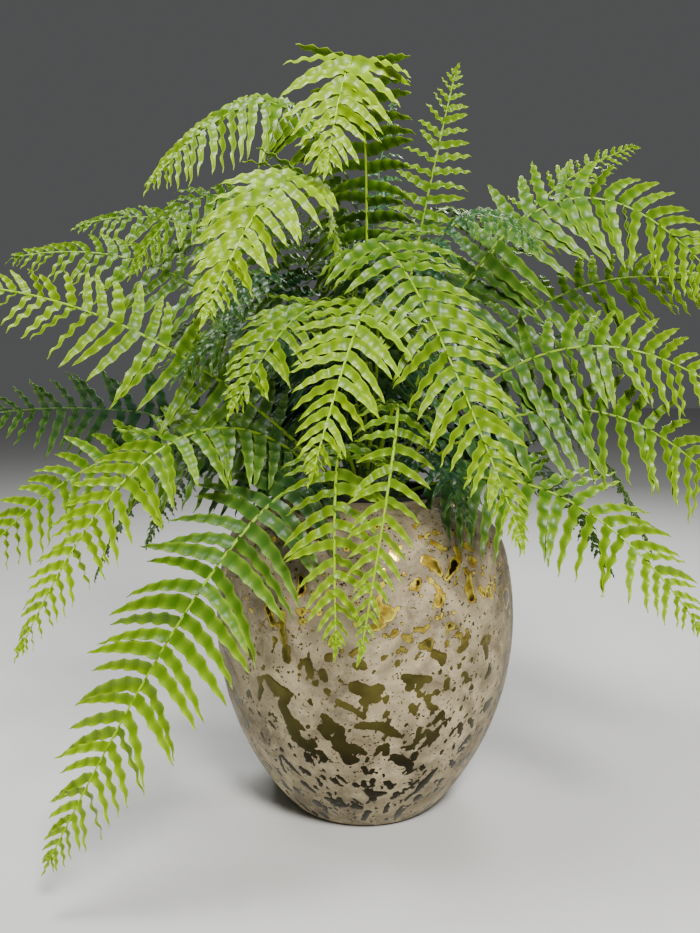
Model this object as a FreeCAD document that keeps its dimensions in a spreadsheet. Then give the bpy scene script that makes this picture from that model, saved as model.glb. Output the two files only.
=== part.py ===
import FreeCAD, Part
import math
import os
import Sketcher
from FreeCAD import Placement, Rotation, Vector

# Planter: an egg-shaped hollow jar with a drop-in liner that carries an artificial fern.
# Origin: centre of the jar's foot, on the surface it stands on. +Z is up and -Y is the front.

# ------------------------------------------------------------ driving dimensions, mm
SIZES = {
    "belly_radius": 120,
    "belly_height": 151,
    "side_radius": 225,
    "shoulder_start": 205.4,
    "shoulder_radius": 55,
    "jar_height": 252,
    "rim_radius": 67,
    "mouth_radius": 60,
    "jar_wall": 7,
    "jar_floor": 10,
    "foot_fillet": 5,
    "rim_fillet": 2.5,
    "floor_fillet": 12,
    "liner_top_radius": 57,
    "liner_bottom_radius": 46,
    "liner_depth": 130,
    "liner_wall": 1.6,
    "flange_radius": 65,
    "flange_thick": 2,
    "fill_gap": 0.2,
    "ballast_thick": 32,
    "foam_top": 236,
    "moss_radius": 53.5,
    "moss_thick": 9,
    "crown_radius": 34,
    "crown_rise": 22,
    "crown_base": 246,
    "trunk_radius": 9,
    "trunk_length": 78,
    "stem_side": 3.2,
    "stem_root": 0.8,
    "blade_thick": 0.8,
    "blade_share": 0.6,
}

# A frond leaves the crown, passes over its crest half way along, and ends at its tip.
# name: (crest x, y, z), (tip x, y, z), reach of the leaflets to each side, twist in degrees
FRONDS = {
    "low_left_front": ((-85, -100, 238), (-205, -170, 35), 48, 0),
    "left_front": ((-130, -75, 302), (-225, -150, 168), 42, 0),
    "left_low": ((-170, -40, 290), (-300, -70, 190), 42, 0),
    "left_dark": ((-160, 0, 312), (-315, -15, 312), 46, 65),
    "left_mid": ((-150, -60, 368), (-290, -75, 408), 42, -20),
    "left_high": ((-130, 20, 412), (-285, 20, 440), 42, 0),
    "left_upper": ((-110, 60, 445), (-240, 50, 470), 42, 0),
    "left_top": ((-42, 22, 538), (-158, -45, 484), 42, 0),
    "left_crest": ((-88, -2, 470), (-175, -30, 425), 40, 0),
    "left_inner": ((-60, -35, 375), (-135, -70, 345), 38, 0),
    "top_front": ((-3, -20, 556), (-28, -98, 480), 40, 0),
    "top_back": ((5, 36, 442), (24, 66, 575), 38, 0),
    "top_right": ((40, 10, 440), (72, 20, 586), 36, 80),
    "front_left_high": ((-35, -50, 478), (-100, -160, 380), 38, 0),
    "centre_left": ((-25, -70, 390), (-85, -150, 325), 38, 0),
    "centre_inner": ((-54, -30, 408), (-98, -95, 376), 36, 0),
    "front_mid": ((5, -80, 395), (-34, -180, 288), 38, 0),
    "front_low": ((20, -110, 322), (-5, -165, 173), 32, 0),
    "front_low_left": ((-20, -100, 290), (-21, -150, 172), 30, 0),
    "front_right": ((5, -62, 440), (95, -165, 242), 42, 4),
    "right_inner": ((55, -15, 445), (120, -65, 435), 38, 0),
    "right_shoulder": ((42, -68, 288), (68, -118, 245), 28, 0),
    "right_upper": ((140, -10, 475), (295, -35, 375), 46, 0),
    "right_rising": ((110, 60, 450), (245, 110, 550), 38, 0),
    "right_high": ((150, 20, 405), (300, 6, 408), 44, 0),
    "right_mid": ((150, -40, 365), (295, -60, 305), 42, 0),
    "right_low": ((160, -60, 320), (290, -60, 225), 42, 0),
    "right_front_low": ((125, -90, 265), (215, -145, 182), 42, 0),
}

# The fronds behind stand in tiers around the back.
# tier: crest radius and height, tip radius and height, reach, azimuths in degrees from +X
BACK_TIERS = {
    "back_low": (150, 300, 285, 165, 42, (12, 37, 62, 87, 112, 137, 161)),
    "back_mid": (145, 380, 300, 345, 42, (31, 54, 77, 103, 129, 152)),
    "back_high": (90, 480, 215, 455, 40, (54, 104, 139)),
}
TIER_WAVE = 16

# Stations along a frond: share of its curve, share of its full width (0 is bare stem).
STATIONS = ((0, 0), (0.1, 0), (0.2, 0), (0.3, 0), (0.36, 0.85), (0.43, 1), (0.5, 1),
            (0.57, 0.97), (0.64, 0.92), (0.72, 0.84), (0.81, 0.7), (0.9, 0.45), (1, 0.08))


class Dim:
    """A number together with the sheet expression that gives it."""

    def __init__(self, value, text):
        self.value = value
        self.text = text

    def join(self, sign, other, value):
        other_text = other.text if isinstance(other, Dim) else str(other)
        return Dim(value, "(%s %s %s)" % (self.text, sign, other_text))

    def __add__(self, other):
        return self.join("+", other, self.value + number(other))

    def __sub__(self, other):
        return self.join("-", other, self.value - number(other))

    def __mul__(self, other):
        return self.join("*", other, self.value * number(other))

    def __truediv__(self, other):
        return self.join("/", other, self.value / number(other))


def number(item):
    return item.value if isinstance(item, Dim) else item


def size(alias):
    return Dim(SIZES[alias], "Sizes." + alias)


def make_sheet(doc):
    sheet = doc.addObject("Spreadsheet::Sheet", "Sizes")
    for row, (alias, value) in enumerate(SIZES.items(), start=1):
        sheet.set("A%d" % row, alias)
        sheet.set("B%d" % row, str(value))
        sheet.setAlias("B%d" % row, alias)
    doc.recompute()


def bind(item, prop, dim):
    item.setExpression(prop, dim.text)


def add(doc, kind, name, **dims):
    item = doc.addObject(kind, name)
    for prop, dim in dims.items():
        bind(item, prop, dim)
    return item


def raise_to(item, height):
    bind(item, "Placement.Base.z", height)


# ------------------------------------------------------------ turned bodies
def sketch_in_body(doc, name):
    """A body with an empty sketch on its XZ plane, where sketch x is radius and y is height."""
    body = doc.addObject("PartDesign::Body", name)
    plane = next(item for item in body.Origin.OriginFeatures if item.Role == "XZ_Plane")
    sketch = body.newObject("Sketcher::SketchObject", name + "_profile")
    sketch.AttachmentSupport = [(plane, "")]
    sketch.MapMode = "FlatFace"
    return body, sketch


def datum(sketch, dim, kind, *where):
    """Add a dimension to the sketch and drive it from the sheet."""
    index = sketch.addConstraint(Sketcher.Constraint(kind, *where, dim.value))
    sketch.setExpression("Constraints[%d]" % index, dim.text)


def line(sketch, start, end):
    ends = [Vector(number(x), number(y), 0) for x, y in (start, end)]
    return sketch.addGeometry(Part.LineSegment(*ends), False)


def arc(sketch, centre, radius, start_angle, end_angle):
    circle = Part.Circle(Vector(centre[0], centre[1], 0), Vector(0, 0, 1), radius)
    return sketch.addGeometry(Part.ArcOfCircle(circle, start_angle, end_angle), False)


def join(sketch, first, first_end, second, second_end, kind="Coincident"):
    sketch.addConstraint(Sketcher.Constraint(kind, first, first_end, second, second_end))


def turn(body, sketch):
    turned = body.newObject("PartDesign::Revolution", body.Name + "_turned")
    turned.Profile = sketch
    turned.ReferenceAxis = (sketch, ["V_Axis"])
    turned.Angle = 360
    return turned


def turned_polygon(doc, name, corners):
    """Turn a closed outline of (radius, height) corners, each driven from the sheet."""
    body, sketch = sketch_in_body(doc, name)
    for index, corner in enumerate(corners):
        line(sketch, corner, corners[(index + 1) % len(corners)])
    for index, (radius, height) in enumerate(corners):
        join(sketch, index - 1 if index else len(corners) - 1, 2, index, 1)
        if number(radius) == 0:
            sketch.addConstraint(Sketcher.Constraint("PointOnObject", index, 1, -2))
        else:
            datum(sketch, radius, "DistanceX", -1, 1, index, 1)
        datum(sketch, height, "DistanceY", -1, 1, index, 1)
    turn(body, sketch)
    return body


def jar_profile(sketch):
    """Outer side and shoulder arcs, a short upright rim, and the same arcs one wall inside."""
    side, shoulder = SIZES["side_radius"], SIZES["shoulder_radius"]
    wall, belly = SIZES["jar_wall"], SIZES["belly_height"]
    side_centre = (SIZES["belly_radius"] - side, belly)
    meet = math.asin((SIZES["shoulder_start"] - belly) / side)
    shoulder_centre = (side_centre[0] + (side - shoulder) * math.cos(meet),
                       belly + (side - shoulder) * math.sin(meet))
    rim_angle = math.acos((SIZES["rim_radius"] - shoulder_centre[0]) / shoulder)
    bore_angle = math.acos((SIZES["mouth_radius"] - shoulder_centre[0]) / (shoulder - wall))
    foot_angle = -math.asin(belly / side)
    floor_angle = -math.asin((belly - SIZES["jar_floor"]) / (side - wall))
    foot_radius = side_centre[0] + side * math.cos(foot_angle)
    floor_radius = side_centre[0] + (side - wall) * math.cos(floor_angle)
    rim_low = shoulder_centre[1] + shoulder * math.sin(rim_angle)
    bore_low = shoulder_centre[1] + (shoulder - wall) * math.sin(bore_angle)
    rim, mouth = SIZES["rim_radius"], SIZES["mouth_radius"]
    top, floor = SIZES["jar_height"], SIZES["jar_floor"]

    base = line(sketch, (0, 0), (foot_radius, 0))
    outside = arc(sketch, side_centre, side, foot_angle, meet)
    outer_shoulder = arc(sketch, shoulder_centre, shoulder, meet, rim_angle)
    rim_side = line(sketch, (rim, rim_low), (rim, top))
    rim_top = line(sketch, (rim, top), (mouth, top))
    bore = line(sketch, (mouth, top), (mouth, bore_low))
    inner_shoulder = arc(sketch, shoulder_centre, shoulder - wall, meet, bore_angle)
    inside = arc(sketch, side_centre, side - wall, floor_angle, meet)
    inner_floor = line(sketch, (floor_radius, floor), (0, floor))
    axis = line(sketch, (0, floor), (0, 0))

    join(sketch, base, 1, -1, 1)
    join(sketch, base, 2, outside, 1)
    join(sketch, outside, 2, outer_shoulder, 1, "Tangent")
    join(sketch, outer_shoulder, 2, rim_side, 1)
    join(sketch, rim_side, 2, rim_top, 1)
    join(sketch, rim_top, 2, bore, 1)
    join(sketch, bore, 2, inner_shoulder, 2)
    join(sketch, inner_shoulder, 1, inside, 2, "Tangent")
    join(sketch, inside, 1, inner_floor, 1)
    join(sketch, inner_floor, 2, axis, 1)
    join(sketch, axis, 2, base, 1)
    join(sketch, outside, 3, inside, 3)
    join(sketch, outer_shoulder, 3, inner_shoulder, 3)
    for flat in (base, rim_top, inner_floor):
        sketch.addConstraint(Sketcher.Constraint("Horizontal", flat))
    for upright in (rim_side, bore, axis):
        sketch.addConstraint(Sketcher.Constraint("Vertical", upright))

    datum(sketch, size("side_radius") - size("belly_radius"), "DistanceX", outside, 3, -1, 1)
    datum(sketch, size("belly_height"), "DistanceY", -1, 1, outside, 3)
    datum(sketch, size("side_radius"), "Radius", outside)
    datum(sketch, size("side_radius") - size("jar_wall"), "Radius", inside)
    datum(sketch, size("shoulder_radius"), "Radius", outer_shoulder)
    datum(sketch, size("shoulder_start"), "DistanceY", -1, 1, outside, 2)
    datum(sketch, size("rim_radius"), "DistanceX", -1, 1, rim_side, 2)
    datum(sketch, size("mouth_radius"), "DistanceX", -1, 1, bore, 1)
    datum(sketch, size("jar_height"), "DistanceY", -1, 1, rim_top, 1)
    datum(sketch, size("jar_floor"), "DistanceY", -1, 1, inner_floor, 1)


def round_edges(body, base, name, height, radii, dim):
    """Fillet the circular edges of a turned feature that lie at one height."""
    names = []
    for index, edge in enumerate(base.Shape.Edges, start=1):
        centre_height = edge.BoundBox.ZMin
        flat = edge.BoundBox.ZMax - centre_height < 0.01
        reach = edge.BoundBox.XMax
        if flat and abs(centre_height - height) < 0.01 and radii[0] < reach < radii[1]:
            names.append("Edge%d" % index)
    fillet = body.newObject("PartDesign::Fillet", name)
    fillet.Base = (base, names)
    fillet.Radius = dim.value
    bind(fillet, "Radius", dim)
    return fillet


def make_jar(doc):
    body, sketch = sketch_in_body(doc, "pot_shell")
    jar_profile(sketch)
    turned = turn(body, sketch)
    doc.recompute()
    rim_band = (SIZES["mouth_radius"] - 1, SIZES["rim_radius"] + 1)
    rim = round_edges(body, turned, "pot_rim_round", SIZES["jar_height"], rim_band,
                      size("rim_fillet"))
    doc.recompute()
    whole_foot = (1, SIZES["belly_radius"])
    foot = round_edges(body, rim, "pot_foot_round", 0, whole_foot, size("foot_fillet"))
    doc.recompute()
    round_edges(body, foot, "pot_floor_round", SIZES["jar_floor"], whole_foot,
                size("floor_fillet"))
    return body


# ------------------------------------------------------------ liner and what fills it
def liner_bottom():
    return size("jar_height") - size("liner_depth")


def make_liner(doc):
    """A tapered cup whose flange rests on the jar's rim."""
    top = size("jar_height")
    wall = size("liner_wall")
    flange_top = top + size("flange_thick")
    bottom = liner_bottom()
    zero = Dim(0, "0")
    return turned_polygon(doc, "liner_pot", [
        (zero, bottom),
        (size("liner_bottom_radius"), bottom),
        (size("liner_top_radius"), top),
        (size("flange_radius"), top),
        (size("flange_radius"), flange_top),
        (size("liner_top_radius") - wall, flange_top),
        (size("liner_bottom_radius") - wall, bottom + wall),
        (zero, bottom + wall),
    ])


def fill_radius(height):
    """Radius that clears the inside of the tapered liner at a height above its floor."""
    slope = (size("liner_top_radius") - size("liner_bottom_radius")) / size("liner_depth")
    inside = size("liner_bottom_radius") - size("liner_wall") - size("fill_gap")
    return inside + slope * height


def make_ballast(doc):
    ballast = add(doc, "Part::Cone", "ballast",
                  Radius1=fill_radius(Dim(0, "0")),
                  Radius2=fill_radius(size("ballast_thick") - size("liner_wall")),
                  Height=size("ballast_thick"))
    raise_to(ballast, liner_bottom() + size("liner_wall"))
    return ballast


def foam_bottom():
    return liner_bottom() + size("liner_wall") + size("ballast_thick")


def trunk_tool(doc, name, gap):
    """A cylinder where the trunk passes, wider by a gap."""
    tool = add(doc, "Part::Cylinder", name, Radius=size("trunk_radius") + gap,
               Height=size("trunk_length"))
    raise_to(tool, size("crown_base") - size("trunk_length"))
    return tool


def make_foam(doc):
    block = add(doc, "Part::Cone", "foam_block_blank",
                Radius1=fill_radius(size("ballast_thick") - size("liner_wall")),
                Radius2=fill_radius(size("foam_top") - liner_bottom() - size("liner_wall") * 2),
                Height=size("foam_top") - foam_bottom())
    raise_to(block, foam_bottom())
    foam = doc.addObject("Part::Cut", "foam_block")
    foam.Base = block
    foam.Tool = trunk_tool(doc, "foam_block_hole", Dim(0, "0"))
    return foam


def make_moss(doc):
    """A moss pad on the foam, inside the liner, round the trunk."""
    disc = add(doc, "Part::Cylinder", "moss_top_disc", Radius=size("moss_radius"),
               Height=size("moss_thick"))
    raise_to(disc, size("foam_top"))
    moss = doc.addObject("Part::Cut", "moss_top")
    moss.Base = disc
    moss.Tool = trunk_tool(doc, "moss_top_hole", size("fill_gap"))
    return moss


def make_trunk(doc):
    return trunk_tool(doc, "stem_trunk", Dim(0, "0"))


def make_crown(doc):
    """A half ellipsoid that the fronds plug into."""
    crown = add(doc, "Part::Ellipsoid", "stem_crown", Radius1=size("crown_rise"),
                Radius2=size("crown_radius"), Radius3=size("crown_radius"))
    crown.Angle1 = 0
    crown.Angle2 = 90
    raise_to(crown, size("crown_base"))
    return crown


# ------------------------------------------------------------ fronds
def root_of(crest):
    """Where a stem starts inside the crown: upright fronds in the middle, low ones outside."""
    across = math.hypot(crest[0], crest[1])
    rise = max(math.atan2(crest[2] - SIZES["crown_base"], across), 0.1)
    out = SIZES["stem_root"] * SIZES["crown_radius"] * math.cos(rise)
    up = SIZES["stem_root"] * SIZES["crown_rise"] * math.sin(rise)
    return Vector(crest[0] / across * out, crest[1] / across * out, SIZES["crown_base"] + up)


def frond_frames(crest, tip, twist):
    """Placements across a parabola from root over crest to tip, at each station."""
    root, end = root_of(crest), Vector(*tip)
    bend = Vector(*crest) * 2 - (root + end) * 0.5
    side = (end - bend).cross(bend - root).normalize()
    frames = []
    for share, _ in STATIONS:
        place = root * (1 - share) ** 2 + bend * (2 * share * (1 - share)) + end * share ** 2
        along = ((bend - root) * (1 - share) + (end - bend) * share).normalize()
        turn_round = Rotation(along, twist)
        across = turn_round.multVec(side)
        frames.append(Placement(place, Rotation(across, along.cross(across), along, "XYZ")))
    return frames


def make_frond(doc, name, crest, tip, reach, twist):
    """A thin ruled blade along the frond's curve, through flat sections set across it."""
    full_width = size("blade_share") * (2 * reach)
    sections = []
    for index, frame in enumerate(frond_frames(crest, tip, twist)):
        share = STATIONS[index][1]
        wide = full_width * share if share else size("stem_side")
        thick = size("blade_thick") if share else size("stem_side")
        section = add(doc, "Part::Plane", "%s_section_%d" % (name, index), Length=wide, Width=thick)
        corner = frame.Rotation.multVec(Vector(number(wide) / 2, number(thick) / 2, 0))
        section.Placement = Placement(frame.Base - corner, frame.Rotation)
        sections.append(section)
    frond = doc.addObject("Part::Loft", name)
    frond.Sections = sections
    frond.Solid = True
    frond.Ruled = True
    return frond


def back_fronds():
    """Crest and tip of each frond in the back tiers, on a gentle wave so no two heights match."""
    for tier, (crest_out, crest_up, tip_out, tip_up, reach, azimuths) in BACK_TIERS.items():
        for index, azimuth in enumerate(azimuths, start=1):
            angle = math.radians(azimuth)
            wave = TIER_WAVE * math.sin(azimuth / 9.0)
            crest = (crest_out * math.cos(angle), crest_out * math.sin(angle), crest_up + wave)
            tip_angle = angle + math.radians(wave / 2)
            tip = (tip_out * math.cos(tip_angle), tip_out * math.sin(tip_angle), tip_up + wave)
            yield "%s_%d" % (tier, index), crest, tip, reach


def make_fronds(doc):
    fronds = []
    for name, (crest, tip, reach, twist) in FRONDS.items():
        fronds.append(make_frond(doc, "frond_" + name, crest, tip, reach, twist))
    for name, crest, tip, reach in back_fronds():
        fronds.append(make_frond(doc, "frond_" + name, crest, tip, reach, 0))
    return fronds


# ------------------------------------------------------------ whole part
def check(doc, parts):
    for item in doc.Objects:
        if "Invalid" in item.State or "Error" in item.State:
            raise RuntimeError("%s did not recompute: %s" % (item.Name, item.State))
    for part in parts:
        if part.Shape.isNull() or not part.Shape.isValid() or len(part.Shape.Solids) != 1:
            raise RuntimeError("%s is not one valid solid" % part.Name)
        if part.Shape.Volume <= 0:
            raise RuntimeError("%s is inside out" % part.Name)


def main():
    doc = FreeCAD.newDocument("planter")
    make_sheet(doc)
    makers = (make_jar, make_liner, make_ballast, make_foam, make_moss, make_trunk, make_crown)
    parts = [make(doc) for make in makers] + make_fronds(doc)
    doc.recompute()
    for part in parts:
        part.Label = part.Name
    check(doc, parts)
    os.makedirs("parts", exist_ok=True)
    for part in parts:
        part.Shape.exportStep("parts/%s.step" % part.Label)
        print("%-24s %10.1f mm3" % (part.Label, part.Shape.Volume))


main()
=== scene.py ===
import math
import bpy
import numpy as np
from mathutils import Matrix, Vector


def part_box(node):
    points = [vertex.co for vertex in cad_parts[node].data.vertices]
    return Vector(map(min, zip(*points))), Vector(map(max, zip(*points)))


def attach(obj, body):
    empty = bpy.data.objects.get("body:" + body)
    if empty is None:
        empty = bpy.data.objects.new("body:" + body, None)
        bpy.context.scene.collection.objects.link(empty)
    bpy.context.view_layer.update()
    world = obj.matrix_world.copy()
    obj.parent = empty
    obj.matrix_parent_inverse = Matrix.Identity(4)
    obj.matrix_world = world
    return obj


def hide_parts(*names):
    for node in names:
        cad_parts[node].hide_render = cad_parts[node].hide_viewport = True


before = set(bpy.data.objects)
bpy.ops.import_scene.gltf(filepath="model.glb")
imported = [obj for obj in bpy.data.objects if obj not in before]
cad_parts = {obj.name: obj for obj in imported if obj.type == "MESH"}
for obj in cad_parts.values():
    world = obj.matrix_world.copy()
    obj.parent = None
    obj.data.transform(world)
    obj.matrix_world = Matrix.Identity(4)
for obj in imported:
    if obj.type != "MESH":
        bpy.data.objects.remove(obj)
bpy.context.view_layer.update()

MM = 0.001
SEED = 11

# ------------------------------------------------------------ camera
CAMERA_AT = (-0.012, -0.682, 0.346)
CAMERA_DOWN = 6.2
CAMERA_LENS = 32.8


def make_camera():
    """The camera, looking straight along +Y and a little down."""
    data = bpy.data.cameras.new("camera")
    data.lens = CAMERA_LENS
    data.sensor_width = 36
    data.clip_start = 0.02
    camera = bpy.data.objects.new("camera", data)
    camera.location = CAMERA_AT
    camera.rotation_euler = (math.radians(90 - CAMERA_DOWN), 0, 0)
    bpy.context.collection.objects.link(camera)
    bpy.context.scene.camera = camera


# ------------------------------------------------------------ layout of the fronds, mm
# The same centre lines as the CAD blades: name: crest, tip, leaflet reach, twist.
FRONDS = {
    "low_left_front": ((-85, -100, 238), (-205, -170, 35), 48, 0),
    "left_front": ((-130, -75, 302), (-225, -150, 168), 42, 0),
    "left_low": ((-170, -40, 290), (-300, -70, 190), 42, 0),
    "left_dark": ((-160, 0, 312), (-315, -15, 312), 46, 65),
    "left_mid": ((-150, -60, 368), (-290, -75, 408), 42, -20),
    "left_high": ((-130, 20, 412), (-285, 20, 440), 42, 0),
    "left_upper": ((-110, 60, 445), (-240, 50, 470), 42, 0),
    "left_top": ((-42, 22, 538), (-158, -45, 484), 42, 0),
    "left_crest": ((-88, -2, 470), (-175, -30, 425), 40, 0),
    "left_inner": ((-60, -35, 375), (-135, -70, 345), 38, 0),
    "top_front": ((-3, -20, 556), (-28, -98, 480), 40, 0),
    "top_back": ((5, 36, 442), (24, 66, 575), 38, 0),
    "top_right": ((40, 10, 440), (72, 20, 586), 36, 80),
    "front_left_high": ((-35, -50, 478), (-100, -160, 380), 38, 0),
    "centre_left": ((-25, -70, 390), (-85, -150, 325), 38, 0),
    "centre_inner": ((-54, -30, 408), (-98, -95, 376), 36, 0),
    "front_mid": ((5, -80, 395), (-34, -180, 288), 38, 0),
    "front_low": ((20, -110, 322), (-5, -165, 173), 32, 0),
    "front_low_left": ((-20, -100, 290), (-21, -150, 172), 30, 0),
    "front_right": ((5, -62, 440), (95, -165, 242), 42, 4),
    "right_inner": ((55, -15, 445), (120, -65, 435), 38, 0),
    "right_shoulder": ((42, -68, 288), (68, -118, 245), 28, 0),
    "right_upper": ((140, -10, 475), (295, -35, 375), 46, 0),
    "right_rising": ((110, 60, 450), (245, 110, 550), 38, 0),
    "right_high": ((150, 20, 405), (300, 6, 408), 44, 0),
    "right_mid": ((150, -40, 365), (295, -60, 305), 42, 0),
    "right_low": ((160, -60, 320), (290, -60, 225), 42, 0),
    "right_front_low": ((125, -90, 265), (215, -145, 182), 42, 0),
}
# The back tiers: crest out and up, tip out and up, leaflet reach, then a frond at each azimuth in degrees.
BACK_TIERS = {
    "back_low": (150, 300, 285, 165, 42, (12, 37, 62, 87, 112, 137, 161)),
    "back_mid": (145, 380, 300, 345, 42, (31, 54, 77, 103, 129, 152)),
    "back_high": (90, 480, 215, 455, 40, (54, 104, 139)),
}
TIER_WAVE = 16

# How far out in the crown each stem starts, as a share of the crown's size.
STEM_ROOT = 0.8

# How far each frond is towards the dark blue-green (0 is fresh yellow-green): partly the fern's own second
# tone, partly painted shade on the fronds that lie inside or under the others.
SHADE = {
    "low_left_front": 0.1, "left_front": 0.05, "left_low": 0.2, "left_dark": 0.75,
    "left_mid": 0.1, "left_high": 0.35, "left_upper": 0.45, "left_top": 0.25,
    "left_crest": 0.4, "left_inner": 0.8, "top_front": 0.0, "top_back": 0.9,
    "top_right": 0.25, "front_left_high": 0.0, "centre_left": 0.25, "centre_inner": 0.9,
    "front_mid": 0.05, "front_low": 0.0, "front_low_left": 0.0, "front_right": 0.15,
    "right_inner": 0.85, "right_shoulder": 0.9, "right_upper": 0.25, "right_rising": 0.3,
    "right_high": 0.3, "right_mid": 0.2, "right_low": 0.2, "right_front_low": 0.15,
}
# The back fronds stand behind the plant and are set part way to the dark blue-green as painted shade.
BACK_SHADE = 0.45

# How far each frond's face is turned towards the front of the plant.
FRONT = np.array([0, -1.0, 0.15])
FRONT_TURN = {
    "left_front": 0.45, "left_low": 0.55, "left_mid": 0.5, "left_high": 0.7, "left_upper": 0.7,
    "left_top": 0.55, "left_crest": 0.6, "right_upper": 0.72, "right_rising": 0.75,
    "right_high": 0.72, "right_mid": 0.62, "right_low": 0.6, "right_front_low": 0.5,
    "right_inner": 0.5, "left_inner": 0.4, "low_left_front": 0.3, "left_dark": 0.35,
    "top_back": 0.5, "top_right": 0.6, "front_left_high": 0.5, "top_front": 0.4,
    "front_right": 0.3, "front_mid": 0.3, "centre_left": 0.35,
}
SMALL_TURN, BACK_TURN = 0.15, 0.2

# How far the leaflet tips sink, as a share of their length.
USUAL_HANG = 0.17
HANG = {
    "top_back": 0.5, "left_top": 0.5, "left_crest": 0.4, "left_high": 0.3, "left_upper": 0.35,
    "right_high": 0.3, "right_shoulder": 0.5, "right_inner": 0.35, "left_inner": 0.35,
}

# How late the leaflets shorten towards the tip: a higher power keeps them long for longer.
USUAL_TAPER = 2.7
TAPER = {
    "top_front": 6, "front_left_high": 5, "left_top": 4, "centre_left": 4, "front_mid": 3.6,
    "front_low": 3.6, "front_low_left": 4, "front_right": 3.6, "top_right": 4, "centre_inner": 4,
}

# How much further, or less far, some fronds' leaflets reach than the usual share of their table width.
FULLER = {
    "left_top": 1.25, "left_high": 1.25, "left_upper": 1.25, "left_crest": 1.25, "left_mid": 1.2,
    "left_low": 1.2, "left_front": 1.15, "right_upper": 1.25, "right_rising": 1.2,
    "right_high": 1.25, "right_mid": 1.2, "right_low": 1.2, "top_back": 1.2, "top_front": 1.35,
    "top_right": 1.2, "right_inner": 1.2, "left_inner": 1.2, "front_left_high": 1.22,
    "low_left_front": 1.18, "front_low": 0.85, "front_low_left": 1.2, "front_mid": 1.15,
    "front_right": 1.15, "right_front_low": 1.2, "centre_left": 1.1,
}


def back_fronds():
    """The name, crest, tip and leaflet reach of each frond in the back tiers."""
    for tier, (crest_out, crest_up, tip_out, tip_up, reach, azimuths) in BACK_TIERS.items():
        for index, azimuth in enumerate(azimuths, start=1):
            angle = math.radians(azimuth)
            wave = TIER_WAVE * math.sin(azimuth / 9.0)
            crest = (crest_out * math.cos(angle), crest_out * math.sin(angle), crest_up + wave)
            tip_angle = angle + math.radians(wave / 2)
            tip = (tip_out * math.cos(tip_angle), tip_out * math.sin(tip_angle), tip_up + wave)
            yield "%s_%d" % (tier, index), crest, tip, reach


# ------------------------------------------------------------ mesh helpers
def smooth_step(low, high, x):
    """0 below low, 1 above high and a smooth rise between."""
    x = np.clip((x - low) / (high - low), 0, 1)
    return x * x * (3 - 2 * x)


def unit(vectors):
    """The vectors scaled to length 1."""
    return vectors / np.linalg.norm(vectors, axis=-1, keepdims=True)


def build_mesh(name, points, faces, colours=None, sharp=50):
    """A mesh object from an array of points and arrays of faces, each array of one corner count."""
    mesh = bpy.data.meshes.new(name)
    corners = np.concatenate([part.ravel() for part in faces]).astype(np.int32)
    counts = np.concatenate([np.full(len(part), part.shape[1]) for part in faces])
    mesh.vertices.add(len(points))
    mesh.vertices.foreach_set("co", np.asarray(points, np.float32).ravel())
    mesh.loops.add(len(corners))
    mesh.loops.foreach_set("vertex_index", corners)
    mesh.polygons.add(len(counts))
    starts = np.concatenate([[0], np.cumsum(counts)[:-1]]).astype(np.int32)
    mesh.polygons.foreach_set("loop_start", starts)
    mesh.polygons.foreach_set("use_smooth", np.ones(len(counts), bool))
    mesh.update(calc_edges=True)
    mesh.validate()
    if colours is not None:
        layer = mesh.color_attributes.new("leaf_tone", "FLOAT_COLOR", "POINT")
        layer.data.foreach_set("color", np.asarray(colours, np.float32).ravel())
    mesh.set_sharp_from_angle(angle=math.radians(sharp))
    piece = bpy.data.objects.new(name, mesh)
    bpy.context.collection.objects.link(piece)
    return piece


def grid_quads(rows, columns, closed=False):
    """Corner indices of a rows x columns grid of points, columns joined round if closed."""
    across = columns if closed else columns - 1
    row, column = np.meshgrid(np.arange(rows - 1), np.arange(across), indexing="ij")
    beside = (column + 1) % columns
    corners = (row * columns + column, row * columns + beside,
               (row + 1) * columns + beside, (row + 1) * columns + column)
    return np.stack(corners, -1).reshape(-1, 4)


# ------------------------------------------------------------ fronds
CURVE_POINTS = 161
LEAF_PITCH = 10.8 * MM
LEAF_REACH = 1.2
LEAF_THICK = 0.45 * MM
LEAF_RUFFLE = 1.6 * MM
END_LEAFLET = 13 * MM
FIRST_LEAFLET, LAST_LEAFLET = 0.13, 0.985
ALONG, ACROSS = 19, 5


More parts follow.
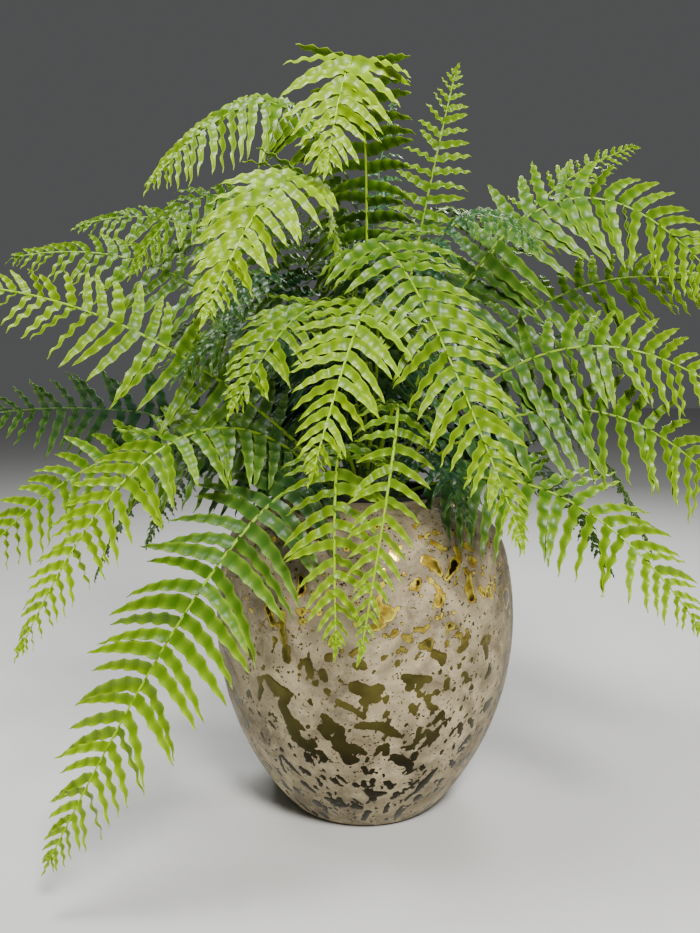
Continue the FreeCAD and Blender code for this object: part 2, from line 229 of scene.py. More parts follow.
class Curve:
    """A frond's centre line with frames, looked up by distance along it."""

    def __init__(self, crest, tip, twist, turn_to_front):
        crown_low, crown_high = (np.array(corner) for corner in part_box("stem_crown"))
        radius = (crown_high[0] - crown_low[0]) / 2
        rise = crown_high[2] - crown_low[2]
        crest, tip = np.array(crest) * MM, np.array(tip) * MM
        across = math.hypot(crest[0], crest[1])
        up = max(math.atan2(crest[2] - crown_low[2], across), 0.1)
        out = STEM_ROOT * radius * math.cos(up)
        root = np.array([crest[0] / across * out, crest[1] / across * out,
                         crown_low[2] + STEM_ROOT * rise * math.sin(up)])
        bend = crest * 2 - (root + tip) * 0.5
        t = np.linspace(0, 1, CURVE_POINTS)[:, None]
        self.points = root * (1 - t) ** 2 + bend * 2 * t * (1 - t) + tip * t ** 2
        self.along = unit((bend - root) * (1 - t) + (tip - bend) * t)
        side = unit(np.cross(bend - root, tip - bend))
        side = np.broadcast_to(side, self.along.shape)
        face = np.cross(self.along, side)
        turn = math.radians(twist)
        self.side = side * math.cos(turn) + face * math.sin(turn)
        self.face = np.cross(self.along, self.side)
        if self.face[CURVE_POINTS // 2] @ np.array([0, -0.3, 1]) < 0:
            self.face = -self.face
        towards = self.face * (1 - turn_to_front) + FRONT * turn_to_front
        towards = towards - self.along * (towards * self.along).sum(-1, keepdims=True)
        self.face = unit(towards)
        self.side = np.cross(self.face, self.along)
        steps = np.linalg.norm(np.diff(self.points, axis=0), axis=1)
        self.distance = np.concatenate([[0], np.cumsum(steps)])
        self.length = self.distance[-1]

    def at(self, distance):
        """The point and the along, side and face directions at each distance."""
        def look(table):
            columns = [np.interp(distance, self.distance, table[:, axis]) for axis in range(3)]
            return np.stack(columns, -1)
        return look(self.points), unit(look(self.along)), unit(look(self.side)), unit(look(self.face))


RIB_ROWS, RIB_SIDES = 48, 7
RIB_ROOT_R, RIB_THINNING = 1.75, 1.25


def rachis(curve):
    """The rib: a tapered closed tube from inside the crown to the tip."""
    distance = np.linspace(0, curve.length * 0.995, RIB_ROWS)
    centre, along, side, face = curve.at(distance)
    share = distance / curve.length
    radius = (RIB_ROOT_R - RIB_THINNING * share ** 0.8) * MM
    angle = np.linspace(0, 2 * math.pi, RIB_SIDES, endpoint=False)
    ring = (side[:, None] * np.cos(angle)[None, :, None]
            + face[:, None] * np.sin(angle)[None, :, None] * 0.8)
    points = (centre[:, None] + ring * radius[:, None, None]).reshape(-1, 3)
    ends = np.stack([np.arange(RIB_SIDES)[::-1],
                     (RIB_ROWS - 1) * RIB_SIDES + np.arange(RIB_SIDES)])
    return points, grid_quads(RIB_ROWS, RIB_SIDES, closed=True), ends, np.repeat(share, RIB_SIDES)


def leaflets(curve, reach, hang, taper, random):
    """Every leaflet of a frond at once, as closed thin blades.

    Points are arrays of leaflet x along x across x 3, and hand is the side of the rib."""
    start, end = FIRST_LEAFLET * curve.length, LAST_LEAFLET * curve.length
    count = round((end - start) / LEAF_PITCH)
    step = np.linspace(0, 1, count)
    row = start + (end - start) * (1 - (1 - step) ** 1.22)
    place = np.concatenate([row, row + 0.35 * LEAF_PITCH * (1 - 0.6 * step), [end]])
    hand = np.concatenate([np.ones(count), -np.ones(count), [1]])
    total = 2 * count + 1
    place = np.clip(place, start, end)
    share = (place - start) / (end - start)
    size = (0.74 + 0.26 * smooth_step(0, 0.16, share)) * (1 - 0.86 * share ** taper)
    length = reach * MM * LEAF_REACH * size * random.normal(1, 0.05, total)
    lean = np.radians(6 + 40 * share ** 2.2 + random.normal(0, 5.5, total))
    length *= 1 - 0.3 * np.maximum(curve.at(place)[1][:, 2], 0) ** 2 * (1 - share)
    length[-1], lean[-1] = END_LEAFLET, math.radians(90)
    roll = np.radians(random.normal(16, 15, total))
    half = (0.062 * length + 1.0 * MM) * random.normal(1, 0.05, total)

    base, along, side, face = curve.at(place)
    base = base + face * 0.4 * MM
    out = side * hand[:, None]
    point = out * np.cos(lean)[:, None] + along * np.sin(lean)[:, None]
    ahead = -out * np.sin(lean)[:, None] + along * np.cos(lean)[:, None]
    edge = ahead * np.cos(roll)[:, None] - face * np.sin(roll)[:, None]
    up = ahead * np.sin(roll)[:, None] + face * np.cos(roll)[:, None]

    u = np.linspace(0, 1, ALONG)[None, :, None]
    v = np.linspace(-1, 1, ACROSS)[None, None, :]
    size_of = length[:, None, None]
    phase = random.uniform(0, 2 * math.pi, total)[:, None, None]
    waves = (2.0 + size_of / (22 * MM)) + random.uniform(-0.3, 0.3, total)[:, None, None]
    wave = np.sin(2 * math.pi * waves * u + phase)
    lag = np.sin(2 * math.pi * waves * u + phase + 1.1)
    outline = ((0.7 + 0.3 * smooth_step(0, 0.12, u)) * (1 - 0.16 * u)
               * (1 - u ** 3.2) ** 0.95 + 0.012)
    outline = outline * (1 + 0.07 * lag * np.sign(v) * smooth_step(0.02, 0.15, u))
    ear = 1 + 0.5 * np.exp(-((u - 0.05) / 0.05) ** 2) * (v > 0)
    width = half[:, None, None] * outline * ear
    ruffle = np.minimum(1.0, length / (34 * MM))[:, None, None] * LEAF_RUFFLE
    lift = wave * ruffle * (0.4 + 0.6 * np.abs(v)) * smooth_step(0.0, 0.15, u) * (1 - 0.35 * u)
    crease = 0.2 * width * np.abs(v)
    rising = 0.5 * np.maximum(along[:, 2], 0) ** 2 * (1 - share)
    droop = (random.normal(hang, 0.05, total) + rising)[:, None, None] * size_of * u ** 1.8
    bow = random.normal(0.11, 0.04, total)[:, None, None] * size_of * u ** 2
    bow = bow + 0.018 * size_of * lag * u * (1 - u)

    def span(direction, amount):
        return direction[:, None, None, :] * amount[..., None]

    full = np.ones((total, ALONG, ACROSS))
    top = (base[:, None, None, :] + span(point, size_of * (u - 0.05 * u ** 3) * full)
           + span(edge, width * v + bow) + span(up, lift + crease)
           - span(np.broadcast_to([0, 0, 1.0], point.shape), droop * full))
    under = top - span(up, LEAF_THICK * full * (1 - 0.5 * u))
    return top, under, hand, share, u * full, np.abs(v) * full, wave * full


def leaflet_quads():
    """Faces of one closed leaflet: top grid, under grid and the rim between them."""
    top = grid_quads(ALONG, ACROSS)
    under = top[:, ::-1] + ALONG * ACROSS
    index = np.arange(ALONG * ACROSS).reshape(ALONG, ACROSS)
    loop = np.concatenate([index[0], index[1:, -1], index[-1, -2::-1], index[-2:0:-1, 0]])
    after = np.roll(loop, -1)
    low = ALONG * ACROSS
    rim = np.stack([after, loop, loop + low, after + low], -1)
    return np.concatenate([top, under, rim])


def frond_piece(name, crest, tip, reach, twist, turn_to_front, shade):
    """One frond, its rib and leaflets in one mesh, in place of its CAD blade."""
    hang = HANG.get(name, USUAL_HANG)
    own_seed = sum(ord(letter) * place for place, letter in enumerate(name, 1))
    random = np.random.default_rng(SEED + own_seed)
    curve = Curve(crest, tip, twist, turn_to_front)
    taper = TAPER.get(name, USUAL_TAPER)
    top, under, hand, share, u, edge, wave = leaflets(curve, reach, hang, taper, random)
    count = len(top)
    blades = np.concatenate([top.reshape(count, -1, 3), under.reshape(count, -1, 3)], 1)
    one = leaflet_quads()
    per = blades.shape[1]
    quads = np.where(hand[:, None, None] > 0, one, one[:, ::-1])
    quads = (quads + (np.arange(count) * per)[:, None, None]).reshape(-1, 4)
    # leaf_tone: red is the blue-green share, rising towards the crown partly as painted shade; green is
    # painted highlight, the pale edge, the paler tips and the ruffle crests
    deep = shade + 0.85 * (1 - share)[:, None, None] ** 1.6 - 0.15 * u
    pale = 0.08 + 0.6 * edge ** 3 * u ** 0.3 + 0.25 * u ** 3 + 0.26 * wave * (0.4 + 0.6 * edge)
    tone = np.stack([deep, np.clip(pale, 0, 1), np.zeros_like(u), np.ones_like(u)], -1)
    tone = tone.reshape(count, -1, 4)
    # The undersides are darker blue-green and carry less painted highlight: painted shade.
    tone = np.concatenate([tone, tone + np.array([0.22, -0.1, 0, 0])], 1)

    rib, rib_quads, rib_ends, rib_share = rachis(curve)
    # The rib darkens towards the crown like the leaflets, partly as painted shade, and is pale all along.
    rib_tone = np.stack([shade + 0.35 * (1 - rib_share), np.full_like(rib_share, 0.75),
                         np.zeros_like(rib_share), np.ones_like(rib_share)], -1)
    points = np.concatenate([blades.reshape(-1, 3), rib])
    faces = [quads, rib_quads + count * per, rib_ends + count * per]
    tones = np.concatenate([tone.reshape(-1, 4), rib_tone])
    piece = build_mesh("fern_" + name, points, faces, np.clip(tones, 0, 1))
    piece.data.materials.append(MATERIALS["leaf"])
    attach(piece, "fern")
    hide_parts("frond_" + name)
    return piece


MATERIALS = {}


def node_kit(name):
    """A new node material with its tree and shader, and a function that adds a node to it."""
    material = bpy.data.materials.new(name)
    material.use_nodes = True
    tree = material.node_tree
    shader = tree.nodes["Principled BSDF"]

    def add(kind, **settings):
        node = tree.nodes.new(kind)
        for key, value in settings.items():
            if key in [socket.name for socket in node.inputs]:
                node.inputs[key].default_value = value
            else:
                setattr(node, key, value)
        return node

    return material, tree, shader, add


def leaf_material():
    """Moulded leaf plastic: yellow-green to blue-green, the darker blue-green partly painted shade, with
    paler edges and ruffles that are painted highlight.
    """
    material, tree, shader, add = node_kit("fern_leaf_plastic")
    link = tree.links.new
    tone = add("ShaderNodeVertexColor", layer_name="leaf_tone")
    parts = add("ShaderNodeSeparateColor")
    link(tone.outputs["Color"], parts.inputs[0])
    # Yellow-green to dark blue-green; the dark end stands partly for painted shade.
    ramp = add("ShaderNodeValToRGB")
    stops = ramp.color_ramp.elements
    stops[0].position, stops[0].color = 0.0, (0.15, 0.26, 0.0, 1)
    stops[1].position, stops[1].color = 1.0, (0.014, 0.055, 0.018, 1)
    middle = stops.new(0.42)
    middle.color = (0.045, 0.12, 0.001, 1)
    link(parts.outputs["Red"], ramp.inputs["Fac"])
    # Painted highlight: the green channel mixes in a paler, lit colour on the edges, tips and ruffle
    # crests.
    pale = add("ShaderNodeMix", data_type="RGBA", blend_type="MIX")
    light = add("ShaderNodeValToRGB")
    light.color_ramp.elements[0].color = (0.60, 0.88, 0.0, 1)
    light.color_ramp.elements[1].color = (0.10, 0.21, 0.085, 1)
    link(parts.outputs["Red"], light.inputs["Fac"])
    link(light.outputs["Color"], pale.inputs["B"])
    edge = add("ShaderNodeMath", operation="MULTIPLY")
    edge.inputs[1].default_value = 0.6
    link(parts.outputs["Green"], edge.inputs[0])
    link(edge.outputs[0], pale.inputs["Factor"])
    link(ramp.outputs["Color"], pale.inputs["A"])
    link(pale.outputs["Result"], shader.inputs["Base Color"])
    shader.inputs["Roughness"].default_value = 0.34
    shader.inputs["Specular IOR Level"].default_value = 0.22
    return material


# ------------------------------------------------------------ pot
# The same profile as the CAD jar, mm.
SIDE_R, SIDE_CENTRE = 225, (-105, 151)
SHOULDER_R, SHOULDER_CENTRE = 55, (59.95, 192.1)
SHOULDER_START = 205.4
RIM_R, MOUTH_R, JAR_TOP, WALL, FLOOR = 67, 60, 252, 7, 10
FOOT_INSET, FOOT_ROUND, RIM_ROUND, LIP = 14, 5, 2.5, 3.5
CENTRE_R = 0.01
POT_STEP, POT_COLUMNS = 1.5, 400
FLECK_LIMIT = 8


def arc(centre, radius, first, last, count=40):
    """Points (r, z) round an arc, from one height to another, on its outer side."""
    low, high = (math.asin((z - centre[1]) / radius) for z in (first, last))
    angle = np.linspace(low, high, count)
    return [(centre[0] + radius * math.cos(a), centre[1] + radius * math.sin(a)) for a in angle]


def rounded(points, corner, radius, count=7):
    """The points with one corner replaced by a curve that starts and ends a radius away."""
    before, at, after = (np.array(points[corner + i], float) for i in (-1, 0, 1))
    first, last = at + unit(before - at) * radius, at + unit(after - at) * radius
    t = np.linspace(0, 1, count)[:, None]
    curve = first * (1 - t) ** 2 + at * 2 * t * (1 - t) + last * t ** 2
    return points[:corner] + [tuple(p) for p in curve] + points[corner + 1:]


def resample(points, step):
    """Points along the same outline, evenly spaced."""
    points = np.array(points, float)
    lengths = np.concatenate([[0], np.cumsum(np.linalg.norm(np.diff(points, axis=0), axis=1))])
    count = max(int(lengths[-1] / step), 2)
    distance = np.linspace(0, lengths[-1], count + 1)
    return np.stack([np.interp(distance, lengths, points[:, i]) for i in (0, 1)], -1)


def pot_profile():
    """Outer side from the foot to the rim, then the inside, as (r, z) in mm."""
    shoulder_top = SHOULDER_CENTRE[1] + math.sqrt(SHOULDER_R ** 2 - (RIM_R - SHOULDER_CENTRE[0]) ** 2)
    side = arc(SIDE_CENTRE, SIDE_R, 0, SHOULDER_START) + arc(
        SHOULDER_CENTRE, SHOULDER_R, SHOULDER_START, shoulder_top)[1:]
    outer = [(side[0][0] - FOOT_INSET, 0)] + side + [(RIM_R, JAR_TOP), (RIM_R - LIP, JAR_TOP)]
    outer = rounded(outer, len(outer) - 2, RIM_ROUND)
    outer = rounded(outer, 1, FOOT_ROUND)
    inner_top = SHOULDER_CENTRE[1] + SHOULDER_R - WALL
    inner = (arc(SIDE_CENTRE, SIDE_R - WALL, FLOOR, SHOULDER_START, 24)
             + arc(SHOULDER_CENTRE, SHOULDER_R - WALL, SHOULDER_START, inner_top - 0.01, 12)[1:])
    inner = ([(CENTRE_R, FLOOR), (30, FLOOR)] + inner
             + [(MOUTH_R, inner_top), (MOUTH_R, JAR_TOP - RIM_ROUND), (RIM_R - 4.6, JAR_TOP)])
    return resample(outer, POT_STEP), np.array(inner[::-1], float)


# Gold flecks given one by one: strokes of (degrees round from the front, height, radius), mm.
STROKES = (
    ((-36, 130, 4), (-33, 124, 6), (-29, 122, 4.5), (-31, 111, 4), (-29, 103, 5), (-28, 92, 5),
     (-25, 84, 4.5), (-21, 79, 3)),
    ((-29, 103, 4), (-25, 98, 3)),
    ((-15, 109, 2.5), (-13, 102, 5), (-9, 99, 3.5), (-11, 90, 4.5), (-8, 83, 6.5), (-4, 84, 4),
     (-1, 81, 2.5)),
    ((-8, 83, 5), (-7, 73, 4), (-4, 74, 2.5)),
    ((-10, 121, 2.5), (-5, 116, 2.5), (-1, 110, 1.8)),
    ((-4, 132, 5), (1, 129, 4.5), (4, 131, 4)), ((-1, 122, 3.5), (3, 124, 3)),
    ((-3, 103, 3), (5, 103, 3.8), (8, 98, 4), (11, 95, 2.5)),
    ((-20, 149, 3.3), (-19, 138, 2.6)), ((-15, 141, 3.4), (-14, 137, 2.6)),
    ((-30, 176, 2.8), (-30, 168, 3.4), (-29, 160, 2.8)), ((-37, 182, 3), (-34, 172, 3.4)),
    ((-28, 156, 3.2), (-28, 148, 3.8)), ((-22, 176, 2.6),), ((-12, 163, 3.2),), ((-13, 153, 3.4),),
    ((-24, 205, 3.2), (-23, 197, 3.8), (-25, 192, 2.4)), ((-4, 158, 2.4), (-2, 160, 2)),
    ((7, 183, 5.4), (6, 185, 5)), ((4, 194, 2.6), (4, 188, 3.2)), ((5, 203, 2.6),), ((6, 212, 2),),
    ((9, 224, 2.2), (11, 219, 2.4)), ((13, 209, 1.8),), ((22, 217, 4.2), (25, 214, 4.6), (27, 208, 2.6)),
    ((27, 228, 2.6), (30, 224, 2.2), (33, 223, 1.6)), ((34, 213, 4.8), (31, 206, 2.8), (29, 204, 2.2)),
    ((18, 204, 3.4), (17, 199, 2.4)), ((21, 208, 1.3), (24, 201, 1.6), (26, 196, 2), (25, 189, 4.6)),
    ((38, 208, 1.8), (40, 203, 2), (39, 195, 5), (40, 187, 4.2)), ((37, 222, 3), (37, 215, 2.6)),
    ((43, 223, 2.8), (45, 219, 2.2)), ((43, 210, 3),), ((45, 192, 3.2), (47, 187, 2.6)),
    ((50, 190, 3.6), (51, 184, 2.6)), ((54, 190, 3),), ((24, 178, 2.4),), ((29, 180, 1.8),),
    ((29, 171, 3.4), (31, 170, 2)), ((16, 172, 2), (19, 171, 2.4), (20, 173, 1.6)), ((6, 169, 2.6),),
    ((12, 168, 2.2), (14, 165, 2.8)), ((18, 160, 3), (21, 162, 3.6), (21, 158, 2.6)),
    ((23, 153, 3.6), (26, 150, 3.6), (26, 146, 2.4)), ((10, 149, 2.6),), ((33, 153, 3), (36, 155, 2)),
    ((12, 139, 2.6), (14, 137, 3.6), (18, 137, 3.4), (21, 135, 3)), ((14, 131, 3.4),),
    ((18, 125, 2.4),), ((16, 114, 3.6), (15, 117, 2)), ((22, 115, 2.8),), ((25, 112, 2),),
    ((28, 132, 2.6), (28, 126, 2.4)), ((33, 141, 2.4),), ((46, 150, 2.8), (47, 141, 2.2)),
    ((36, 134, 1.8), (37, 128, 2.4)), ((22, 95, 2.2), (24, 90, 3), (23, 87, 2)),
    ((27, 97, 1.2), (30, 101, 1.4)), ((37, 94, 2.4), (38, 88, 3.2)), ((7, 87, 2), (7, 80, 3.2)),
    ((10, 77, 3), (13, 73, 4.8), (17, 68, 4), (18, 61, 2.4)), ((13, 84, 0.9), (24, 87, 1)),
    ((9, 52, 3), (11, 47, 2.4)), ((0, 45, 2.6), (3, 41, 4.6), (8, 42, 3)), ((3, 36, 3),),
    ((24, 38, 2.4), (27, 47, 4.2), (31, 58, 1.8)), ((13, 36, 2.2),), ((-20, 33, 2.4), (-13, 31, 3)),
    ((-3, 26, 2.6),), ((-5, 51, 2.4),), ((-18, 78, 2.6), (-17, 72, 3)), ((-28, 60, 2.6), (-25, 56, 2)),
    ((-41, 128, 2), (-40, 121, 2.8), (-42, 112, 2)), ((-46, 150, 2), (-45, 143, 2.6)),
)
STROKES_ROUND = 2600


def surface_at(height, radius_of, degrees):
    """The point on the pot's side at a height (mm) and a number of degrees round from the front."""
    radius = np.interp(height, radius_of[:, 1], radius_of[:, 0])
    angle = np.radians(degrees)
    return np.stack([radius * np.sin(angle), -radius * np.cos(angle), height], -1)


def stroke_segments(profile, random):
    """Both ends and radii of every stroke's segments: the listed ones, then smaller ones all round."""
    rising = profile[profile[:, 1] > 0.5]
    rising = rising[:np.argmax(rising[:, 1])]
    hand = [(stroke[i], stroke[min(i + 1, len(stroke) - 1)]) for stroke in STROKES
            for i in range(max(len(stroke) - 1, 1))]
    hand = np.array(hand, float)
    count = STROKES_ROUND
    start = np.stack([random.uniform(-180, 180, count), random.uniform(6, 248, count),
                      np.exp(random.normal(0.2, 0.4, count))], -1)
    low = 1 - smooth_step(70, 170, start[:, 1])
    reach = start[:, 2] * (0.6 + 3.4 * low * random.uniform(0, 1, count) ** 1.5)
    slope = random.normal(0.35, 0.4, count)
    end = start + np.stack([np.degrees(reach * slope / 95) * np.sign(start[:, 0]) * -1, -reach,
                            -0.35 * start[:, 2]], -1)
    behind = np.abs(start[:, 0]) > 58
    big = behind & (random.uniform(0, 1, count) < 0.16)
    start[big, 2] *= 2.2
    end[big, 2] *= 2.2
    both = np.concatenate([hand, np.stack([start, end], 1)])
    ends = surface_at(both[..., 1], rising, both[..., 0])
    return ends, both[..., 2]


def fleck_reach(points, profile, random):
    """How far each point (mm) lies inside the nearest fleck, negative outside, up to the limit."""
    ends, radii = stroke_segments(profile, random)
    reach = np.full(len(points), -FLECK_LIMIT, np.float32)
    for (first, last), (wide, narrow) in zip(ends, radii):
        room = np.abs(last - first).max() / 2 + wide + FLECK_LIMIT
        near = np.abs(points - (first + last) / 2).max(1) < room
        local = points[near]
        step = last - first
        t = np.clip((local - first) @ step / max(step @ step, 1e-9), 0, 1)
        inside = wide + (narrow - wide) * t - np.linalg.norm(local - first - t[:, None] * step, axis=1)
        reach[near] = np.maximum(reach[near], inside)
    return np.minimum(reach, FLECK_LIMIT)


def make_pot():
    """The jar in one closed skin, with the reach of its flecks stored on its outer points."""
    outer, inner = pot_profile()
    profile = np.concatenate([[(CENTRE_R, 0)], outer, inner])
    angle = np.linspace(0, 2 * math.pi, POT_COLUMNS, endpoint=False)
    rings = np.stack([profile[:, :1] * np.cos(angle), profile[:, :1] * np.sin(angle),
                      np.broadcast_to(profile[:, 1:], (len(profile), POT_COLUMNS))], -1)
    points = rings.reshape(-1, 3)
    quads = grid_quads(len(profile), POT_COLUMNS, closed=True)
    first = np.arange(POT_COLUMNS)
    last = (len(profile) - 1) * POT_COLUMNS + first
    piece = build_mesh("pot_body", points * MM, [quads, np.stack([first[::-1], last])])
    dense = len(outer) * POT_COLUMNS
    reach = np.full(len(points), -FLECK_LIMIT, np.float32)
    side = slice(POT_COLUMNS, POT_COLUMNS + dense)
    reach[side] = fleck_reach(points[side], outer, np.random.default_rng(SEED))
    layer = piece.data.attributes.new("fleck_reach", "FLOAT", "POINT")
    layer.data.foreach_set("value", reach)
    piece.data.materials.append(MATERIALS["pot"])
    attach(piece, "pot")
    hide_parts("pot_shell")


def pot_material():
    """A matt mottled coat with polished gold flecks and specks in it, the gold's colour painted with its
    reflections and highlights.
    """
    material, tree, shader, add = node_kit("pot_coat_and_gold")
    link = tree.links.new
    place = add("ShaderNodeTexCoord").outputs["Object"]

    def noise(scale, detail, rough=0.5, distortion=0.0):
        node = add("ShaderNodeTexNoise", Scale=scale, Detail=detail, Roughness=rough, Distortion=distortion)
        link(place, node.inputs["Vector"])
        return node.outputs["Fac"]

    def maths(operation, first, second=None, third=None):
        node = add("ShaderNodeMath", operation=operation)
        for socket, value in zip(node.inputs, (first, second, third)):
            if isinstance(value, (int, float)):
                socket.default_value = value
            elif value is not None:
                link(value, socket)
        return node.outputs[0]

    def remap(value, low, high, to_low=0.0, to_high=1.0, smooth=False):
        node = add("ShaderNodeMapRange")
        node.interpolation_type = "SMOOTHSTEP" if smooth else "LINEAR"
        limits = {"From Min": low, "From Max": high, "To Min": to_low, "To Max": to_high}
        for key, amount in limits.items():
            node.inputs[key].default_value = amount
        link(value, node.inputs["Value"])
        return node.outputs["Result"]

    def mix(share, first, second):
        node = add("ShaderNodeMix", data_type="RGBA")
        link(share, node.inputs["Factor"])
        for key, value in (("A", first), ("B", second)):
            if isinstance(value, tuple):
                node.inputs[key].default_value = value
            else:
                link(value, node.inputs[key])
        return node.outputs["Result"]

    # coat: taupe with soft cream smears, darker stains and fine grain
    coat = mix(remap(noise(26, 4, 0.6, 1.2), 0.36, 0.7), (0.165, 0.13, 0.072, 1), (0.49, 0.40, 0.235, 1))
    coat = mix(remap(noise(95, 5, 0.65), 0.5, 0.8, 0, 0.55), coat, (0.78, 0.66, 0.41, 1))
    coat = mix(remap(noise(900, 3, 0.7), 0.52, 0.8, 0, 0.6), coat, (0.12, 0.095, 0.07, 1))

    # gold: flecks from the mesh's reach, plus fine specks
    reach = add("ShaderNodeAttribute", attribute_name="fleck_reach").outputs["Fac"]
    wobble = maths("MULTIPLY_ADD", noise(190, 3, 0.55), 4.2, -2.1)
    ragged = maths("MULTIPLY_ADD", noise(520, 2, 0.5), 1.3, -0.65)
    depth = maths("ADD", maths("ADD", reach, wobble), ragged)
    fleck = remap(depth, -0.12, 0.12, smooth=True)
    speck = remap(maths("MULTIPLY", noise(430, 2, 0.45), remap(noise(60, 2), 0.3, 0.6, 0.9, 1.06)),
                  0.655, 0.675, smooth=True)
    gold = maths("MAXIMUM", fleck, speck)
    # Painted reflection and highlight: the gold's colour changes with height, as its mirror surface would
    # with what it faces, and the upper flecks get a thin dark edge.
    height = add("ShaderNodeSeparateXYZ")
    link(place, height.inputs[0])
    high = remap(height.outputs["Z"], 0.145, 0.195, smooth=True)
    khaki_reflection_share = maths("MULTIPLY", remap(noise(45, 2), 0.3, 0.6, 0.3, 1.0),
                  remap(height.outputs["Z"], 0.07, 0.12))
    # Lower flecks: near-black at the bottom rising to khaki, a painted reflection of the dark below.
    low_tone = mix(khaki_reflection_share, (0.02, 0.016, 0.004, 1), (0.105, 0.09, 0.02, 1))
    # Dark centres in the larger flecks: painted reflection.
    deep = maths("MULTIPLY", remap(depth, 1.1, 2.6, smooth=True),
                 remap(noise(55, 1), 0.42, 0.56, 0.15, 1.0))
    # Bright lit gold, brighter and duller at random: painted highlight.
    lit = mix(remap(noise(130, 2), 0.42, 0.62), (1.0, 0.80, 0.10, 1), (0.50, 0.31, 0.03, 1))
    rim = remap(depth, 0.45, 0.2, smooth=True)
    high_tone = mix(maths("MAXIMUM", deep, rim), lit, (0.06, 0.042, 0.012, 1))
    gold_tone = mix(high, low_tone, high_tone)
    link(mix(gold, coat, gold_tone), shader.inputs["Base Color"])
    # The upper flecks, outside their dark centres, lose some metallic so their bright painted gold shows as
    # painted highlight.
    dulling = maths("MULTIPLY", maths("SUBTRACT", 1.0, deep), maths("MULTIPLY", high, 0.5))
    shine = maths("SUBTRACT", 0.92, dulling)
    link(maths("MULTIPLY", gold, shine), shader.inputs["Metallic"])
    link(remap(gold, 0, 1, 0.72, 0.24), shader.inputs["Roughness"])

    # relief: the grain of the coat, and flecks that stand a little proud
    relief = maths("ADD", maths("MULTIPLY", noise(800, 3, 0.7), maths("SUBTRACT", 1.0, gold)),
                   maths("MULTIPLY", remap(depth, -0.3, 2.2, smooth=True), 3.0))
    bump = add("ShaderNodeBump", Strength=0.5, Distance=0.00012)
    link(relief, bump.inputs["Height"])
    link(bump.outputs["Normal"], shader.inputs["Normal"])
    return material


# ------------------------------------------------------------ inside the pot
def mottled_material(name, light, dark, scale, roughness, relief=0.0003):
    """A two-tone material with a matching relief, for the pieces that show when the fern is out."""
    material, tree, shader, add = node_kit(name)
    link = tree.links.new
    place = add("ShaderNodeTexCoord").outputs["Object"]
    noise = add("ShaderNodeTexNoise", Scale=scale, Detail=5, Roughness=0.65)
    link(place, noise.inputs["Vector"])
    spread = add("ShaderNodeMapRange")
    spread.inputs["From Min"].default_value, spread.inputs["From Max"].default_value = 0.35, 0.68
    link(noise.outputs["Fac"], spread.inputs["Value"])
    mix = add("ShaderNodeMix", data_type="RGBA")
    mix.inputs["A"].default_value, mix.inputs["B"].default_value = (*dark, 1), (*light, 1)
    link(spread.outputs["Result"], mix.inputs["Factor"])
    link(mix.outputs["Result"], shader.inputs["Base Color"])
    shader.inputs["Roughness"].default_value = roughness
    bump = add("ShaderNodeBump", Strength=0.6, Distance=relief)
    link(noise.outputs["Fac"], bump.inputs["Height"])
    link(bump.outputs["Normal"], shader.inputs["Normal"])
    return material


def dress(node, material):
    """Gives a CAD piece its material."""
    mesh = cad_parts[node].data
    mesh.materials.clear()
    mesh.materials.append(material)


def waves(x, y, random, lengths, height):
    """A bumpy height field: a sum of crossed sine waves."""
    total = np.zeros_like(x)
    for length in lengths:
        for turn in random.uniform(0, math.pi, 4):
            across = x * math.cos(turn) + y * math.sin(turn)
            total += np.sin(2 * math.pi * across / length + random.uniform(0, 6.3)) * length
    return total / np.abs(total).max() * height


MOSS_RINGS, MOSS_COLUMNS = 44, 160
STRANDS, STRAND_STEPS, STRAND_SIDES = 420, 9, 4
STRAND_R = 0.45 * MM


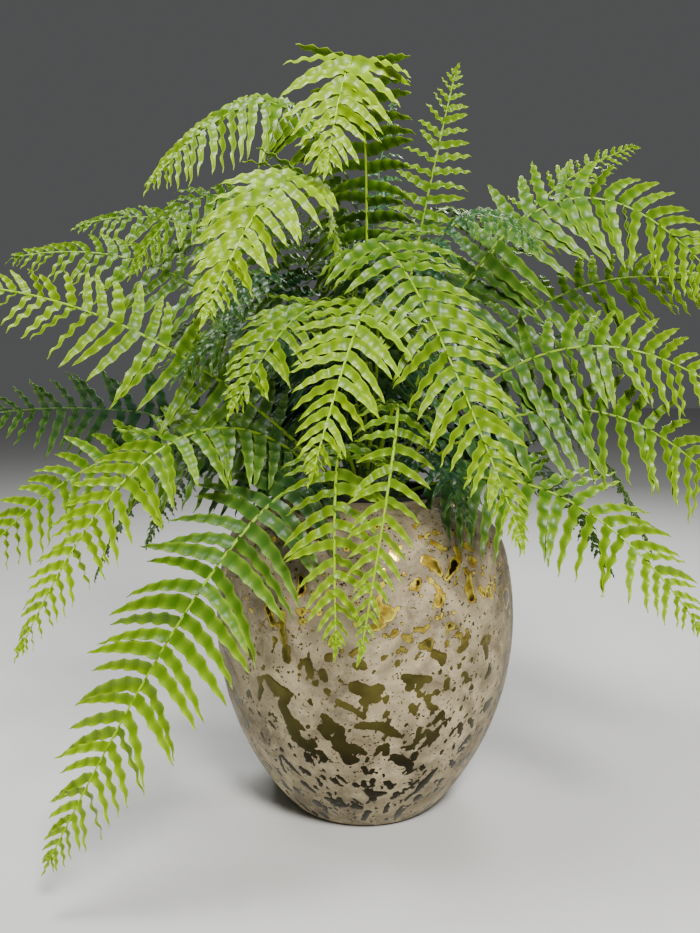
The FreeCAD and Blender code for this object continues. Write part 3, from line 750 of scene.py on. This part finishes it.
def make_moss():
    """A tufted mat over the foam, with fine curled strands on it."""
    random = np.random.default_rng(SEED + 1)
    low, high = (np.array(corner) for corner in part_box("moss_top"))
    radius, top = (high[0] - low[0]) / 2, high[2]
    share = np.concatenate([np.linspace(0.002, 1, MOSS_RINGS), [1.0, 0.002]])
    angle = np.linspace(0, 2 * math.pi, MOSS_COLUMNS, endpoint=False)
    x = share[:, None] * radius * np.cos(angle)
    y = share[:, None] * radius * np.sin(angle)
    bumps = waves(x, y, random, (0.022, 0.011, 0.006, 0.0035), 0.0022)
    z = top - 0.002 + bumps - 0.004 * smooth_step(0.8, 1.0, share)[:, None] ** 2
    z[-2:] = low[2]
    quads = grid_quads(len(share), MOSS_COLUMNS, closed=True)[:, ::-1]
    points = [np.stack([x, y, z], -1).reshape(-1, 3)]
    middle = np.arange(MOSS_COLUMNS)
    middles = np.stack([middle, (len(share) - 1) * MOSS_COLUMNS + middle[::-1]])
    faces = [quads, middles]
    first = len(points[0])
    at = radius * 0.94 * np.sqrt(random.uniform(0.05, 1, STRANDS))
    around = random.uniform(0, 2 * math.pi, STRANDS)
    t = np.linspace(0, 1, STRAND_STEPS)[None]
    heading = random.uniform(0, 2 * math.pi, STRANDS)[:, None] + np.cumsum(
        random.normal(0, 0.45, (STRANDS, STRAND_STEPS)), 1)
    length = random.uniform(0.008, 0.018, STRANDS)[:, None] / STRAND_STEPS
    line_x = (at * np.cos(around))[:, None] + np.cumsum(np.cos(heading) * length, 1)
    line_y = (at * np.sin(around))[:, None] + np.cumsum(np.sin(heading) * length, 1)
    out = np.hypot(line_x, line_y)
    pull = np.minimum(1, radius * 0.97 / out)
    line_x, line_y = line_x * pull, line_y * pull
    arch = random.uniform(0.0, 0.0035, STRANDS)[:, None] * np.sin(math.pi * t)
    line_z = top - 0.002 + arch + 0.0004
    turn = np.linspace(0, 2 * math.pi, STRAND_SIDES, endpoint=False)
    thick = STRAND_R * (1 - 0.6 * np.abs(2 * t - 1))[..., None]
    ring_x = line_x[..., None] - np.sin(heading)[..., None] * np.cos(turn) * thick
    ring_y = line_y[..., None] + np.cos(heading)[..., None] * np.cos(turn) * thick
    ring_z = line_z[..., None] + np.sin(turn) * thick
    points.append(np.stack([ring_x, ring_y, ring_z], -1).reshape(-1, 3))
    tube = grid_quads(STRAND_STEPS, STRAND_SIDES, closed=True)
    ring = np.arange(STRAND_SIDES)
    ends = np.stack([ring[::-1], (STRAND_STEPS - 1) * STRAND_SIDES + ring])
    shift = first + np.arange(STRANDS)[:, None, None] * STRAND_STEPS * STRAND_SIDES
    faces += [(tube[None] + shift).reshape(-1, 4), (ends[None] + shift).reshape(-1, STRAND_SIDES)]
    piece = build_mesh("moss_mat", np.concatenate(points), faces)
    fibres = mottled_material("moss_fibres", (0.22, 0.20, 0.07), (0.05, 0.055, 0.02), 260, 0.9)
    piece.data.materials.append(fibres)
    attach(piece, "fern")
    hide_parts("moss_top")


# CAD piece: material name, light and dark tone, scale of the mottling, roughness, depth of the relief.
INNER_MATERIALS = {
    "liner_pot": ("liner_black_plastic", (0.020, 0.020, 0.021), (0.012, 0.012, 0.013), 400, 0.5, 0.0003),
    "ballast": ("ballast_plaster", (0.62, 0.60, 0.56), (0.45, 0.43, 0.40), 120, 0.85, 0.0003),
    "foam_block": ("dry_foam_green", (0.10, 0.20, 0.09), (0.05, 0.11, 0.05), 900, 0.95, 0.0006),
    "stem_trunk": ("trunk_bark_plastic", (0.13, 0.10, 0.05), (0.05, 0.045, 0.025), 180, 0.7, 0.0008),
    "stem_crown": ("crown_green_plastic", (0.07, 0.13, 0.045), (0.03, 0.06, 0.025), 200, 0.6, 0.0008),
}


def dress_inner_pieces():
    """Materials for the CAD pieces that are kept as they are."""
    for node, settings in INNER_MATERIALS.items():
        dress(node, mottled_material(*settings))


# ------------------------------------------------------------ stage and light
FLOOR_HALF = 8


def make_stage():
    """The plain pale floor."""
    mesh = bpy.data.meshes.new("floor")
    corners = [(x * FLOOR_HALF, y * FLOOR_HALF, 0) for x, y in ((-1, -1), (1, -1), (1, 1), (-1, 1))]
    mesh.from_pydata(corners, [], [(0, 1, 2, 3)])
    floor = bpy.data.objects.new("floor", mesh)
    bpy.context.collection.objects.link(floor)
    material, tree, shader, add = node_kit("floor_pale")
    shader.inputs["Base Color"].default_value = (0.62, 0.62, 0.61, 1)
    shader.inputs["Roughness"].default_value = 0.8
    floor.data.materials.append(material)


def area_light(name, at, aim, size, watts, colour=(1, 1, 1)):
    """A square light at one point, aimed at another."""
    data = bpy.data.lights.new(name, "AREA")
    data.size = size
    data.energy = watts
    data.color = colour
    lamp = bpy.data.objects.new(name, data)
    lamp.location = at
    lamp.rotation_euler = (Vector(aim) - Vector(at)).to_track_quat("-Z", "Y").to_euler()
    bpy.context.collection.objects.link(lamp)


def make_light():
    """Soft studio light: a pale world, and lights in front, above and behind."""
    world = bpy.data.worlds.new("studio")
    bpy.context.scene.world = world
    world.use_nodes = True
    background = world.node_tree.nodes["Background"]
    background.inputs["Color"].default_value = (0.72, 0.73, 0.74, 1)
    background.inputs["Strength"].default_value = 0.12
    area_light("key", (0.35, -1.25, 1.45), (0, 0, 0.3), 0.4, 49, (1.0, 0.985, 0.95))
    area_light("top", (-0.6, -0.1, 1.7), (0, 0, 0.35), 0.45, 25)
    area_light("back", (0.5, 1.1, 1.3), (0, 0, 0.4), 0.6, 18)


make_camera()
make_stage()
make_light()
MATERIALS["leaf"] = leaf_material()
MATERIALS["pot"] = pot_material()
make_pot()
make_moss()
dress_inner_pieces()
for name, (crest, tip, reach, twist) in FRONDS.items():
    reach *= FULLER.get(name, 1)
    frond_piece(name, crest, tip, reach, twist, FRONT_TURN.get(name, SMALL_TURN), SHADE[name])
for name, crest, tip, reach in back_fronds():
    frond_piece(name, crest, tip, reach, 0, BACK_TURN, BACK_SHADE)
